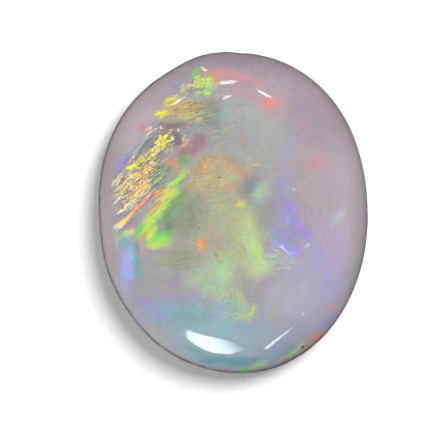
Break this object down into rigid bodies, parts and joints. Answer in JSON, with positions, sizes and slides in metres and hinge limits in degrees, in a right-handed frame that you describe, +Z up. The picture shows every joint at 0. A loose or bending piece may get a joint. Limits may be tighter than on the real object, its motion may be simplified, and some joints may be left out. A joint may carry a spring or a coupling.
{
  "type": "opal cabochon",
  "caption": "Oval polished opal cabochon with a low rounded dome, a thin girdle and a flat bevelled back.",
  "frame": {"origin": "middle of the flat back", "axes": "+Z up out of the dome, +Y along the stone's length, towards the top of the picture, +X across its width, towards the picture's right"},
  "size_m": [0.01, 0.012, 0.0036],
  "materials": {
    "polished_opal": "polished, milky lilac grey with play of colour"
  },
  "bodies": {
    "root": {"opal_cabochon": "polished_opal"}
  },
  "joints": []
}
